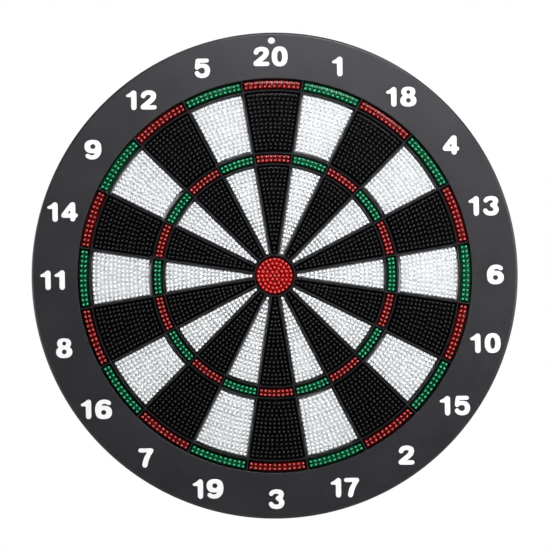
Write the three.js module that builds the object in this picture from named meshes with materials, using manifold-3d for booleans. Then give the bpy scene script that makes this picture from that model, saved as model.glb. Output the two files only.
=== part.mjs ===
// Soft-tip safety dartboard: a round wall board with a moulded number ring and web,
// coloured inserts covered with flexible nubs, a ribbed back cover and its screws.
//
// Units are millimetres. The board is drawn lying flat in "board axes": x to the
// right, y towards the 20 field and z from the wall towards the player. The group at
// the end stands it up, so that the wall face is the plane Y = 0, the play face looks
// along -Y and the 20 field is at +Z. The origin is the centre of the wall face.

import * as THREE from "three";
import { mergeVertices } from "three/addons/utils/BufferGeometryUtils.js";
import Module from "manifold-3d";

const wasm = await Module();
wasm.setup();

// ---------------------------------------------------------------- driving dimensions

const R_OUTER = 210; // outside radius of the board
const DEPTH = 25; // wall face to the tips of the nubs
const Z_RIM = 24.2; // front face of the number ring and front edge of the web
const RIM_PLATE = 2.6; // thickness of the number ring's face
const RIM_EDGE = 2; // rounding of the outer edge
const WALL_OUTER = 2.6; // thickness of the outer wall
const WALL_INNER = 1.8; // thickness of the wall around the playing field

const R_FIELD = 170.4; // number ring's inner edge, the outside of the doubles
const R_DOUBLE = 160.0; // web ring between doubles and outer singles
const R_TREBLE_OUT = 106.2; // web ring outside the trebles
const R_TREBLE_IN = 96.2; // web ring inside the trebles
const R_BULL = 17.7; // web ring around the bull
const WEB = 1.2; // thickness of every web wall
const GAP = 0.3; // clearance between separate pieces

const Z_PLATE_BOTTOM = 11.0; // back of the inserts' base plates
const Z_PLATE_TOP = 13.0; // front of the base plates, the floor of each cell
const Z_WEB_BACK = Z_PLATE_TOP + GAP; // back edge of the web, which the plates bear on
const LAP = 0.35; // how far a base plate reaches behind a web wall
const Z_CARRIER_BOTTOM = 9.2; // carrier rings that tie the pads of one colour together
const Z_CARRIER_TOP = 10.7;

const NUB_R = 1.2; // radius of one nub
const OUTER_ROWS = [110.2, 156.4]; // first and last nub rows of each kind of field
const INNER_ROWS = [20.65, 92.9];
const DOUBLE_ROWS = [163.7, 167.0];
const TREBLE_ROWS = [99.8, 103.1];
const BULL_LAST_ROW = 14.2;
const EDGE_SINGLE = 3.45; // from a web wall's centre plane to the nearest nub column
const EDGE_DOUBLE = 3.3;
const EDGE_TREBLE = 2.95;

const HANG_R = 203.3; // hanging hole, on the 20 line
const HANG_BORE = 6.2;
const HANG_BOSS = 10;

const SCREW_COUNT = 10;
const SCREW_R = 190; // circle of the cover screws
const BOSS_D = 8; // screw bosses behind the number ring
const PILOT_D = 3.6;
const PILOT_DEPTH = 12;
const Z_BOSS = 4.5; // back end of the screw bosses
const SCREW_HEAD_D = 6.8;
const SCREW_SHANK_D = 3.0;
const SCREW_LENGTH = 12;

const COVER_T = 2.2; // thickness of the back cover
const COVER_PAD_D = 11; // thick pad around each cover screw
const COVER_PAD_Z = 4.2;
const COUNTERBORE_D = 7.6;
const COUNTERBORE_Z = 2.4;
const CLEAR_D = 3.9;
const RIB_T = 1.8; // radial ribs that press the inserts against the web
const POCKET_DEPTH = 0.7; // shallow pockets in the cover's wall side
const POCKET_R = [74, 174];

const NUMBERS = [20, 1, 18, 4, 13, 6, 10, 15, 2, 17, 3, 19, 7, 16, 8, 11, 14, 9, 12, 5];

// ---------------------------------------------------------------- solid helpers

const rad = THREE.MathUtils.degToRad;
const FINE = rad(4.5); // facet of the large circles, four to a field
const COARSE = rad(9); // facet of the small circles, two to a field
const HALF = rad(9); // half of one field

// A closed three.js geometry as a manifold solid that faces outwards.
function solid(geometry) {
  const bare = geometry.index ? geometry.toNonIndexed() : geometry.clone();
  bare.deleteAttribute("normal");
  bare.deleteAttribute("uv");
  const merged = mergeVertices(bare, 1e-4);
  const kept = [];
  for (let i = 0; i < merged.index.count; i += 3) {
    const [a, b, c] = [0, 1, 2].map((k) => merged.index.getX(i + k));
    if (a !== b && b !== c && c !== a) kept.push(a, b, c);
  }
  const make = (tris) =>
    new wasm.Manifold(
      new wasm.Mesh({
        numProp: 3,
        vertProperties: new Float32Array(merged.attributes.position.array),
        triVerts: new Uint32Array(tris),
      }),
    );
  const made = make(kept);
  if (made.volume() >= 0) return made;
  for (let i = 0; i < kept.length; i += 3) [kept[i + 1], kept[i + 2]] = [kept[i + 2], kept[i + 1]];
  return make(kept);
}

// A manifold solid back as a flat-shaded three.js geometry.
function geometryOf(made) {
  const mesh = made.getMesh();
  const position = new Float32Array(mesh.numVert * 3);
  for (let i = 0; i < mesh.numVert; i++)
    position.set(mesh.vertProperties.subarray(i * mesh.numProp, i * mesh.numProp + 3), i * 3);
  const indexed = new THREE.BufferGeometry()
    .setAttribute("position", new THREE.BufferAttribute(position, 3))
    .setIndex(new THREE.BufferAttribute(new Uint32Array(mesh.triVerts), 1));
  const flat = indexed.toNonIndexed();
  flat.computeVertexNormals();
  return flat;
}

const union = (solids) => solids.reduce((a, b) => a.add(b));

// A profile of [radius, z] points turned about the board's axis.
function turned(profile, facet = FINE) {
  const points = profile.map(([r, z]) => new THREE.Vector2(r, z));
  if (profile[0][0] > 0) points.push(points[0].clone());
  const g = new THREE.LatheGeometry(points, Math.round((2 * Math.PI) / facet));
  g.rotateX(Math.PI / 2);
  return solid(g);
}

const ring = (r0, r1, z0, z1, facet = FINE) =>
  turned([[r0, z0], [r1, z0], [r1, z1], [r0, z1]], facet);

// A round bar along z at (x, y).
function bar(x, y, d, z0, z1, sides = 16) {
  const g = new THREE.CylinderGeometry(d / 2, d / 2, z1 - z0, sides);
  g.rotateX(Math.PI / 2);
  g.translate(x, y, (z0 + z1) / 2);
  return solid(g);
}

// An outline of [x, y] points pushed along z.
function pushed(outline, z0, z1) {
  const shape = new THREE.Shape(outline.map(([x, y]) => new THREE.Vector2(x, y)));
  const g = new THREE.ExtrudeGeometry(shape, { depth: z1 - z0, bevelEnabled: false });
  g.translate(0, 0, z0);
  return solid(g);
}

const polar = (r, a) => [r * Math.cos(a), r * Math.sin(a)];

// The radius of a faceted circle at an angle counted from one of its corners.
function facetRadius(r, a, facet) {
  const t = ((a % facet) + facet) % facet;
  return (r * Math.cos(facet / 2)) / Math.cos(t - facet / 2);
}

// The outline of a field between two faceted circles, its straight sides parallel to
// the web walls and "side" away from their centre planes.
function fieldOutline(r0, r1, mid, side, facet0, facet1, half = HALF) {
  const arc = (r, facet) => {
    const lim = half - Math.asin(side / r);
    const angles = [-lim];
    for (let n = Math.ceil(-lim / facet + 1e-6); n * facet < lim - 1e-6; n++) angles.push(n * facet);
    angles.push(lim);
    return angles.map((a) => polar(facetRadius(r, a, facet), mid + a));
  };
  return [...arc(r1, facet1), ...arc(r0, facet0).reverse()];
}

// A flat bar along a radius: its [r, z] side view, given a thickness.
function radialPlate(sideView, mid, thickness) {
  const shape = new THREE.Shape(sideView.map(([r, z]) => new THREE.Vector2(r, z)));
  const g = new THREE.ExtrudeGeometry(shape, { depth: thickness, bevelEnabled: false });
  g.translate(0, 0, -thickness / 2);
  g.rotateX(Math.PI / 2); // side view's z goes up, thickness goes across
  g.rotateZ(mid);
  return solid(g);
}

const fieldMid = (k) => rad(90 - 18 * k);
const webMid = (k) => rad(99 - 18 * k);
const screwMid = (k) => rad(72 - (360 / SCREW_COUNT) * k);

// ---------------------------------------------------------------- front frame

// The web as one plate with a hole for every field. Each kind of field has a slightly
// different wall thickness, as the moulded one is a little thicker around the singles.
function webPlate() {
  const outline = [];
  for (let a = 0; a < 80; a++) outline.push(polar(R_FIELD + 1.4, a * FINE));
  const shape = new THREE.Shape(outline.map(([x, y]) => new THREE.Vector2(x, y)));
  const half = WEB / 2;
  const cells = [
    [R_DOUBLE + half, R_FIELD, half, FINE, FINE],
    [R_TREBLE_OUT + half, R_DOUBLE - half, half + 0.03, COARSE, FINE],
    [R_TREBLE_IN + half, R_TREBLE_OUT - half, half - 0.03, COARSE, COARSE],
    [R_BULL + half, R_TREBLE_IN - half, half + 0.03, COARSE, COARSE],
  ];
  const cut = (points) =>
    shape.holes.push(new THREE.Path([...points].reverse().map(([x, y]) => new THREE.Vector2(x, y))));
  for (let k = 0; k < 20; k++)
    for (const [r0, r1, side, f0, f1] of cells) cut(fieldOutline(r0, r1, fieldMid(k), side, f0, f1));
  const bull = [];
  for (let a = 0; a < 40; a++) bull.push(polar(R_BULL - half, a * COARSE));
  cut(bull);
  const g = new THREE.ExtrudeGeometry(shape, { depth: Z_RIM - 0.05 - Z_WEB_BACK, bevelEnabled: false });
  g.translate(0, 0, Z_WEB_BACK);
  return solid(g);
}

function frontFrame() {
  const under = Z_RIM - RIM_PLATE;
  const e = RIM_EDGE;
  const inner = R_FIELD + 0.6;
  const rim = turned([
    [R_OUTER, 0],
    [R_OUTER, Z_RIM - e],
    [R_OUTER - e * 0.13, Z_RIM - e * 0.5],
    [R_OUTER - e * 0.5, Z_RIM - e * 0.13],
    [R_OUTER - e, Z_RIM],
    [inner, Z_RIM],
    [inner, Z_WEB_BACK - 0.05],
    [inner + WALL_INNER, Z_WEB_BACK - 0.05],
    [inner + WALL_INNER, under],
    [R_OUTER - WALL_OUTER, under],
    [R_OUTER - WALL_OUTER, 0],
  ]);
  const ribs = NUMBERS.map((_, k) =>
    radialPlate(
      [[inner + 1, 15], [R_OUTER - 1, 8], [R_OUTER - 1, under + 1], [inner + 1, under + 1]],
      fieldMid(k),
      1.4,
    ),
  );
  const bosses = [];
  const pilots = [];
  for (let k = 0; k < SCREW_COUNT; k++) {
    const [x, y] = polar(SCREW_R, screwMid(k));
    bosses.push(bar(x, y, BOSS_D, Z_BOSS, under + 1.3, 12));
    pilots.push(bar(x, y, PILOT_D, Z_BOSS - 1, Z_BOSS + PILOT_DEPTH, 8));
  }
  const hang = bar(0, HANG_R, HANG_BOSS, 0.1, under + 1.6, 16);
  const bore = bar(0, HANG_R, HANG_BORE, -1, Z_RIM + 1, 16);
  return union([rim, webPlate(), ...ribs, ...bosses, hang]).subtract(union([bore, ...pilots]));
}

// ---------------------------------------------------------------- inserts

// A base plate that laps behind the web, with the block its nubs fill.
function pad(plate, block, mid, edge, facetIn, facetOut) {
  const side = WEB / 2 - LAP; // the plate stops this far from a web wall's centre plane
  return pushed(fieldOutline(plate[0] - LAP, plate[1] + LAP, mid, side, facetIn, facetOut), Z_PLATE_BOTTOM, Z_PLATE_TOP).add(
    pushed(
      fieldOutline(block[0] - NUB_R, block[1] + NUB_R, mid, edge - NUB_R, facetIn, facetOut),
      Z_PLATE_TOP - 0.5,
      DEPTH,
    ),
  );
}

const outerSingle = (k) =>
  pad([R_TREBLE_OUT + WEB / 2, R_DOUBLE - WEB / 2], OUTER_ROWS, fieldMid(k), EDGE_SINGLE, COARSE, FINE);
const innerSingle = (k) =>
  pad([R_BULL + WEB / 2, R_TREBLE_IN - WEB / 2], INNER_ROWS, fieldMid(k), EDGE_SINGLE, COARSE, COARSE);

// Ten pads of one colour on a thin carrier ring that runs behind the plates of the
// other colour.
function padRing(field, rows, edge, carrier, first, facetIn, facetOut) {
  const pieces = [ring(carrier[0], carrier[1], Z_CARRIER_BOTTOM, Z_CARRIER_TOP, COARSE)];
  for (let k = first; k < 20; k += 2) {
    pieces.push(pad(field, rows, fieldMid(k), edge, facetIn, facetOut));
    pieces.push(
      pushed(
        fieldOutline(carrier[0] + 0.7, carrier[1] - 0.4, fieldMid(k), 0, COARSE, COARSE, rad(3)),
        Z_CARRIER_TOP - 0.5,
        Z_PLATE_BOTTOM + 0.5,
      ),
    );
  }
  return union(pieces);
}

const DOUBLE_FIELD = [R_DOUBLE + WEB / 2, R_FIELD];
const TREBLE_FIELD = [R_TREBLE_IN + WEB / 2, R_TREBLE_OUT - WEB / 2];

function bullInsert() {
  const plate = R_BULL - WEB / 2 + LAP;
  const block = BULL_LAST_ROW + NUB_R;
  return turned(
    [
      [0, Z_PLATE_BOTTOM],
      [plate, Z_PLATE_BOTTOM],
      [plate, Z_PLATE_TOP],
      [block, Z_PLATE_TOP],
      [block, DEPTH],
      [0, DEPTH],
    ],
    COARSE,
  );
}

// ---------------------------------------------------------------- back cover

function backCover() {
  const edge = R_OUTER - WALL_OUTER - GAP;
  const disc = turned([[0, 0], [edge, 0], [edge, COVER_T], [0, COVER_T]]);
  const lip = ring(202, 204, COVER_T - 0.5, 6, COARSE);
  const hub = ring(6, 13, COVER_T - 0.5, Z_PLATE_BOTTOM - GAP, COARSE);
  const high = Z_PLATE_BOTTOM - GAP;
  const low = Z_CARRIER_BOTTOM - GAP;
  const z0 = COVER_T - 0.5;
  const ribs = NUMBERS.map((_, k) =>
    radialPlate(
      [
        [12, z0],
        [170, z0],
        [170, low],
        [159.9, low],
        [159.9, high],
        [105.9, high],
        [105.9, low],
        [96.3, low],
        [96.3, high],
        [12, high],
      ],
      fieldMid(k),
      RIB_T,
    ),
  );
  const pads = [];
  const cuts = [bar(0, HANG_R, HANG_BOSS + 2 * GAP, -1, 8, 16)];
  for (let k = 0; k < SCREW_COUNT; k++) {
    const [x, y] = polar(SCREW_R, screwMid(k));
    pads.push(bar(x, y, COVER_PAD_D, COVER_T - 0.5, COVER_PAD_Z, 12));
    cuts.push(bar(x, y, COUNTERBORE_D, -1, COUNTERBORE_Z, 12));
    cuts.push(bar(x, y, CLEAR_D, 0, COVER_PAD_Z + 1, 8));
  }
  for (let k = 0; k < 10; k++)
    cuts.push(
      pushed(
        fieldOutline(POCKET_R[0], POCKET_R[1], rad(90 + 36 * k), 4, COARSE, COARSE, rad(18)),
        -1,
        POCKET_DEPTH,
      ),
    );
  return union([disc, lip, hub, ...ribs, ...pads]).subtract(union(cuts));
}

// A pan-head self-tapping screw, head towards the wall.
function coverScrew(k) {
  const [x, y] = polar(SCREW_R, screwMid(k));
  const headTop = COUNTERBORE_Z - GAP;
  const g = new THREE.LatheGeometry(
    [
      [0, 0.3],
      [SCREW_HEAD_D * 0.34, 0.45],
      [SCREW_HEAD_D / 2, 1.1],
      [SCREW_HEAD_D / 2, headTop],
      [SCREW_SHANK_D / 2, headTop],
      [SCREW_SHANK_D / 2, headTop + SCREW_LENGTH - 2.2],
      [0, headTop + SCREW_LENGTH],
    ].map(([r, z]) => new THREE.Vector2(r, z)),
    10,
  );
  g.rotateX(Math.PI / 2);
  g.translate(x, y, 0);
  return solid(g);
}

// ---------------------------------------------------------------- assembly

const finish = (color, roughness, metalness = 0) => () =>
  new THREE.MeshStandardMaterial({ color, roughness, metalness });
const FRAME_PLASTIC = finish(0x47474a, 0.55);
const COVER_PLASTIC = finish(0x202022, 0.65);
const NUB_BLACK = finish(0x121214, 0.45);
const NUB_WHITE = finish(0xe8e8e4, 0.5);
const NUB_RED = finish(0xb51a18, 0.45);
const NUB_GREEN = finish(0x16825a, 0.45);
const SCREW_STEEL = finish(0x9fa2a6, 0.35, 0.9);

const board = new THREE.Group();
const put = (name, made, material) => {
  const mesh = new THREE.Mesh(geometryOf(made), material());
  mesh.name = name;
  board.add(mesh);
};

put("front_frame", frontFrame(), FRAME_PLASTIC);
NUMBERS.forEach((n, k) => {
  const label = String(n).padStart(2, "0");
  put("outer_single_" + label, outerSingle(k), k % 2 ? NUB_WHITE : NUB_BLACK);
  put("inner_single_" + label, innerSingle(k), k % 2 ? NUB_WHITE : NUB_BLACK);
});
put("double_ring_red", padRing(DOUBLE_FIELD, DOUBLE_ROWS, EDGE_DOUBLE, [161.0, 164.9], 0, FINE, FINE), NUB_RED);
put("double_ring_green", padRing(DOUBLE_FIELD, DOUBLE_ROWS, EDGE_DOUBLE, [165.7, 169.6], 1, FINE, FINE), NUB_GREEN);
put("treble_ring_red", padRing(TREBLE_FIELD, TREBLE_ROWS, EDGE_TREBLE, [97.0, 100.7], 0, COARSE, COARSE), NUB_RED);
put("treble_ring_green", padRing(TREBLE_FIELD, TREBLE_ROWS, EDGE_TREBLE, [101.5, 105.2], 1, COARSE, COARSE), NUB_GREEN);
put("bull_insert", bullInsert(), NUB_RED);
put("back_cover", backCover(), COVER_PLASTIC);
for (let k = 0; k < SCREW_COUNT; k++)
  put("cover_screw_" + String(k + 1).padStart(2, "0"), coverScrew(k), SCREW_STEEL);

// Stand the board up: its face looks along -Y and the 20 field is at the top.
board.rotation.x = Math.PI / 2;

const group = new THREE.Group();
group.name = "dartboard";
group.add(board);

export default group;
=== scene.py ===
import math

import bmesh
import bpy
import numpy as np
from mathutils import Matrix, Vector
from mathutils.geometry import delaunay_2d_cdt, tessellate_polygon


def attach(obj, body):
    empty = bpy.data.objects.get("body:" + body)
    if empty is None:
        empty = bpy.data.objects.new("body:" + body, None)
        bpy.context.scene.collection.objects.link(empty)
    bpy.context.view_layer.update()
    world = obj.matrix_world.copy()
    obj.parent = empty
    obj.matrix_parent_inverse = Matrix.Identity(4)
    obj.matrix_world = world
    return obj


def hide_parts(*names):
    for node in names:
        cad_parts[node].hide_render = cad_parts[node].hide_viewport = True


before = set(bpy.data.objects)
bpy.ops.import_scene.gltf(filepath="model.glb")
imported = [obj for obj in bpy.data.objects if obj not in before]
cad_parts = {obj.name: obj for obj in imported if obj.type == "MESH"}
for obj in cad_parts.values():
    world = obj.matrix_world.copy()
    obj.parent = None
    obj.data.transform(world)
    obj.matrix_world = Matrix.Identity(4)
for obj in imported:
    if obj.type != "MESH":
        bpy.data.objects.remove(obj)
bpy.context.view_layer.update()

# Everything below is drawn in board axes, in millimetres: x to the right, y towards the
# 20 field and z from the wall towards the player. place() turns them to the row frame.

R_OUTER, Z_RIM, DEPTH = 210.0, 24.2, 25.0
RIM_PLATE, RIM_EDGE = 2.6, 2.0
WALL_OUTER, WALL_INNER = 2.6, 1.8
R_FIELD, R_DOUBLE, R_TREBLE_OUT, R_TREBLE_IN, R_BULL = 170.4, 160.0, 106.2, 96.2, 17.7
WEB, GAP, LAP = 1.2, 0.3, 0.35
Z_PLATE_BOTTOM, Z_PLATE_TOP = 11.0, 13.0
Z_WEB_BACK = Z_PLATE_TOP + GAP
Z_CARRIER_BOTTOM, Z_CARRIER_TOP = 9.2, 10.7
HANG_R, HANG_BORE, HANG_BOSS = 203.3, 6.2, 10.0
SCREW_COUNT, SCREW_R, BOSS_D, PILOT_D, PILOT_DEPTH, Z_BOSS = 10, 190.0, 8.0, 3.6, 12.0, 4.5
COVER_T, COVER_PAD_D, COVER_PAD_Z = 2.2, 11.0, 4.2
COUNTERBORE_D, COUNTERBORE_Z, CLEAR_D = 7.6, 2.4, 3.9
RIB_T, POCKET_DEPTH, POCKET_R = 1.8, 0.7, (74.0, 174.0)
NUMBERS = [20, 1, 18, 4, 13, 6, 10, 15, 2, 17, 3, 19, 7, 16, 8, 11, 14, 9, 12, 5]

rad = math.radians


# ------------------------------------------------------------------ camera

DISTANCE = 8.0
SPAN = 0.47498  # what the picture's width spans at the number ring's face
ROLL = rad(0.79)

camera_data = bpy.data.cameras.new("camera")
camera_data.sensor_width = 36
camera_data.lens = 36 * DISTANCE / SPAN
camera_data.clip_start = 0.1
camera_data.clip_end = 60
camera = bpy.data.objects.new("camera", camera_data)
bpy.context.scene.collection.objects.link(camera)
eye = (0.00030, -(DISTANCE + Z_RIM * 0.001), 0.00052)
c, s = math.cos(ROLL), math.sin(ROLL)
camera.matrix_world = Matrix(((c, s, 0, eye[0]), (0, 0, -1, eye[1]), (-s, c, 0, eye[2]), (0, 0, 0, 1)))
bpy.context.scene.camera = camera
bpy.context.scene.view_settings.view_transform = "Standard"
bpy.context.scene.view_settings.look = "None"


# ------------------------------------------------------------------ mesh helpers


def place(points):
    p = np.asarray(points, float).reshape(-1, 3)
    return np.column_stack([p[:, 0], -p[:, 2], p[:, 1]]) * 0.001


class Shell:
    """Closed shells as points in board axes and faces."""

    def __init__(self, points=(), faces=()):
        self.points = [np.asarray(points, float).reshape(-1, 3)]
        self.faces = [list(f) for f in faces]
        self.count = len(self.points[0])

    def add(self, other):
        for f in other.faces:
            self.faces.append([i + self.count for i in f])
        self.points.extend(other.points)
        self.count += other.count
        return self

    def xyz(self):
        return np.concatenate(self.points)


def gather(shells):
    out = Shell()
    for x in shells:
        out.add(x)
    return out


def lathe(profile, segments, start=0.0):
    """A profile of (radius, z) points, listed anticlockwise in (r, z), turned about z.
    Points at radius 0 become single points."""
    a = start + np.arange(segments) * 2 * math.pi / segments
    ca, sa = np.cos(a), np.sin(a)
    points, index = [], []
    n = 0
    for r, z in profile:
        if r < 1e-9:
            points.append([[0.0, 0.0, z]])
            index.append([n] * segments)
            n += 1
        else:
            points.append(np.column_stack([r * ca, r * sa, np.full(segments, z)]))
            index.append(list(range(n, n + segments)))
            n += segments
    faces = []
    closed = profile[0][0] > 1e-9
    pairs = [(i, i + 1) for i in range(len(profile) - 1)]
    if closed:
        pairs.append((len(profile) - 1, 0))
    for i, j in pairs:
        for k in range(segments):
            m = (k + 1) % segments
            quad = [index[i][k], index[i][m], index[j][m], index[j][k]]
            face = []
            for v in quad:
                if v not in face:
                    face.append(v)
            if len(face) > 2:
                faces.append(face)
    return Shell(np.concatenate([np.asarray(p, float) for p in points]), faces)


def loft(rings, cap_start=True, cap_end=True):
    """Closed rings of equally many points, from the back to the front, anticlockwise
    as seen from the front."""
    n = len(rings[0])
    points = np.concatenate([np.asarray(r, float) for r in rings])
    faces = []
    for i in range(len(rings) - 1):
        for k in range(n):
            m = (k + 1) % n
            faces.append([i * n + k, i * n + m, (i + 1) * n + m, (i + 1) * n + k])
    if cap_start:
        faces.append(list(range(n))[::-1])
    if cap_end:
        faces.append([(len(rings) - 1) * n + k for k in range(n)])
    return Shell(points, faces)


def at_z(outline, z):
    o = np.asarray(outline, float)
    return np.column_stack([o[:, 0], o[:, 1], np.full(len(o), z)])


def prism(outline, z0, z1):
    return loft([at_z(outline, z0), at_z(outline, z1)])


def circle(x, y, r, sides, start=0.0):
    a = start + np.arange(sides) * 2 * math.pi / sides
    return np.column_stack([x + r * np.cos(a), y + r * np.sin(a)])


def stack(x, y, profile, sides=32):
    """A round post at (x, y) from a list of (radius, z), back to front."""
    return loft([at_z(circle(x, y, r, sides), z) for r, z in profile])


def polar(r, a):
    return (r * math.cos(a), r * math.sin(a))


def field_mid(k):
    return rad(90 - 18 * k)


def web_mid(k):
    return rad(99 - 18 * k)


def screw_mid(k):
    return rad(72 - 36 * k)


def field_outline(r0, r1, mid, side, n, half=rad(9)):
    """A field between two arcs of n steps, its straight sides parallel to the web walls
    and that far from their centre planes. Anticlockwise."""

    def arc(r):
        lim = half - math.asin(side / r)
        return [polar(r, mid + lim * (2 * i / n - 1)) for i in range(n + 1)]

    return np.array(arc(r1) + arc(r0)[::-1])


def bar_along(profile, r0, r1, mid):
    """A straight bar along a radius. profile is its closed (across, z) section,
    anticlockwise as seen looking inwards along the radius."""
    c, s = math.cos(mid), math.sin(mid)
    rings = []
    for r in (r0, r1):
        rings.append([(r * c - t * s, r * s + t * c, z) for t, z in profile])
    return loft(rings)


def object_of(name, shell):
    me = bpy.data.meshes.new(name)
    me.from_pydata(shell.xyz().tolist(), [], shell.faces)
    me.update()
    return bpy.data.objects.new(name, me)


def cut_up(points, face, normal):
    """A flat face as well-shaped triangles on its own corners, or None if that would
    leave its border open."""
    n = Vector(normal)
    u = n.orthogonal().normalized()
    w = n.cross(u)
    near = [points[v] - points[face[0]] for v in face]
    flat = [Vector((d.dot(u), d.dot(w))) for d in near]
    out = delaunay_2d_cdt(flat, [], [list(range(len(face)))], 0, 1e-7)
    tris = []
    border = {}
    for tri, owner in zip(out[2], out[5]):
        if owner:
            ids = [out[3][i] for i in tri]
            if not all(ids):
                return None
            t = [face[i[0]] for i in ids]
            tris.append(t)
            for e in ((t[0], t[1]), (t[1], t[2]), (t[2], t[0])):
                if e[::-1] in border:
                    del border[e[::-1]]
                else:
                    border[e] = True
    return tris if set(border) == set(zip(face, face[1:] + face[:1])) else None


def tidy(me):
    """The mesh with its doubled corners merged and every face of more than four corners
    cut into triangles."""
    bm = bmesh.new()
    bm.from_mesh(me)
    bmesh.ops.remove_doubles(bm, verts=bm.verts, dist=2e-4)
    bmesh.ops.dissolve_degenerate(bm, dist=1e-4, edges=bm.edges)
    bm.to_mesh(me)
    bm.free()
    points = [v.co.copy() for v in me.vertices]
    faces = []
    for p in me.polygons:
        face = list(p.vertices)
        faces += (len(face) > 4 and cut_up(points, face, p.normal)) or [face]
    new = bpy.data.meshes.new(me.name)
    new.from_pydata([tuple(v) for v in points], [], faces)
    new.update()
    bpy.data.meshes.remove(me)
    return new


def combine(base, steps):
    """base with each (operation, shell) in turn. Works in millimetres."""
    scene = bpy.context.scene
    a = object_of("work", base)
    scene.collection.objects.link(a)
    made = []
    for operation, shell in steps:
        b = object_of("tool", shell)
        scene.collection.objects.link(b)
        made.append(b)
        m = a.modifiers.new(operation, "BOOLEAN")
        m.operation = operation
        m.solver = "MANIFOLD"
        m.object = b
    bpy.context.view_layer.update()
    deps = bpy.context.evaluated_depsgraph_get()
    me = bpy.data.meshes.new_from_object(a.evaluated_get(deps))
    for o in [a, *made]:
        old = o.data
        bpy.data.objects.remove(o)
        bpy.data.meshes.remove(old)
    if not len(me.polygons):
        raise RuntimeError("a boolean came out empty")
    return tidy(me)


def mesh_of(shell, name):
    me = bpy.data.meshes.new(name)
    me.from_pydata(shell.xyz().tolist(), [], shell.faces)
    me.update()
    return me


def piece(name, me, material, replaces=(), angle=38, flat_faces=True):
    """A finished piece from a mesh in board millimetres. Its large flat faces keep
    their own normals up to their rounded edges."""
    co = np.zeros(len(me.vertices) * 3)
    me.vertices.foreach_get("co", co)
    me.vertices.foreach_set("co", place(co).ravel())
    me.update()
    me.name = name
    me.materials.clear()
    me.materials.append(material)
    me.shade_smooth()
    me.set_sharp_from_angle(angle=rad(angle))
    o = bpy.data.objects.new(name, me)
    bpy.context.scene.collection.objects.link(o)
    if flat_faces:
        m = o.modifiers.new("normals", "WEIGHTED_NORMAL")
        m.mode = "FACE_AREA"
        m.weight = 100
        m.keep_sharp = True
        bpy.context.view_layer.update()
        o.data = bpy.data.meshes.new_from_object(o.evaluated_get(bpy.context.evaluated_depsgraph_get()))
        o.modifiers.clear()
        bpy.data.meshes.remove(me)
        o.data.name = name
    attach(o, "root")
    if replaces:
        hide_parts(*replaces)
    return o


# ------------------------------------------------------------------ materials


class Nodes:
    def __init__(self, name):
        self.mat = bpy.data.materials.new(name)
        self.mat.use_nodes = True
        self.tree = self.mat.node_tree
        self.tree.nodes.clear()
        self.out = self.tree.nodes.new("ShaderNodeOutputMaterial")
        self.bsdf = self.tree.nodes.new("ShaderNodeBsdfPrincipled")
        self.link(self.bsdf.outputs["BSDF"], self.out.inputs["Surface"])
        self.coord = self.tree.nodes.new("ShaderNodeTexCoord").outputs["Object"]

    def link(self, a, b):
        self.tree.links.new(a, b)

    def new(self, kind, **values):
        n = self.tree.nodes.new(kind)
        for k, v in values.items():
            setattr(n, k, v)
        return n

    def noise(self, size_mm, detail=2.0, rough=0.5, stretch=None, distortion=0.0):
        """Noise from 0 to 1 whose features are about size_mm across."""
        vector = self.coord
        if stretch:
            m = self.new("ShaderNodeMapping")
            m.inputs["Scale"].default_value = stretch
            self.link(self.coord, m.inputs["Vector"])
            vector = m.outputs["Vector"]
        n = self.new("ShaderNodeTexNoise")
        n.inputs["Scale"].default_value = 1000.0 / size_mm
        n.inputs["Detail"].default_value = detail
        n.inputs["Roughness"].default_value = rough
        n.inputs["Distortion"].default_value = distortion
        self.link(vector, n.inputs["Vector"])
        return n.outputs["Fac"]

    def remap(self, value, low, high, to_low, to_high, smooth=False):
        n = self.new("ShaderNodeMapRange", clamp=True)
        if smooth:
            n.interpolation_type = "SMOOTHSTEP"
        self.link(value, n.inputs["Value"])
        n.inputs["From Min"].default_value = low
        n.inputs["From Max"].default_value = high
        n.inputs["To Min"].default_value = to_low
        n.inputs["To Max"].default_value = to_high
        return n.outputs["Result"]

    def math(self, operation, a, b):
        n = self.new("ShaderNodeMath", operation=operation)
        for socket, v in zip(n.inputs, (a, b)):
            if isinstance(v, (int, float)):
                socket.default_value = v
            else:
                self.link(v, socket)
        return n.outputs["Value"]

    def mix(self, factor, a, b, blend="MIX"):
        n = self.new("ShaderNodeMix", data_type="RGBA", blend_type=blend)
        if isinstance(factor, (int, float)):
            n.inputs["Factor"].default_value = factor
        else:
            self.link(factor, n.inputs["Factor"])
        for socket, v in ((n.inputs[6], a), (n.inputs[7], b)):
            if isinstance(v, tuple):
                socket.default_value = (*v, 1.0)
            else:
                self.link(v, socket)
        return n.outputs[2]

    def depth(self):
        """Distance from the wall, in metres."""
        n = self.new("ShaderNodeSeparateXYZ")
        self.link(self.coord, n.inputs["Vector"])
        return self.math("MULTIPLY", n.outputs["Y"], -1.0)

    def bump(self, layers):
        """layers of (height value, height in millimetres)."""
        normal = None
        for value, height in layers:
            b = self.new("ShaderNodeBump")
            b.inputs["Strength"].default_value = 1.0
            b.inputs["Distance"].default_value = height * 0.001
            self.link(value, b.inputs["Height"])
            if normal is not None:
                self.link(normal, b.inputs["Normal"])
            normal = b.outputs["Normal"]
        self.link(normal, self.bsdf.inputs["Normal"])

    def set(self, **values):
        names = {
            "color": "Base Color",
            "roughness": "Roughness",
            "specular": "Specular IOR Level",
            "ior": "IOR",
            "metallic": "Metallic",
            "subsurface": "Subsurface Weight",
            "radius": "Subsurface Radius",
            "scale": "Subsurface Scale",
            "coat": "Coat Weight",
            "coat_roughness": "Coat Roughness",
        }
        for k, v in values.items():
            socket = self.bsdf.inputs[names[k]]
            if isinstance(v, (int, float)):
                socket.default_value = v
            elif isinstance(v, tuple):
                socket.default_value = (*v, 1.0) if socket.type == "RGBA" else v
            else:
                self.link(v, socket)


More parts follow.
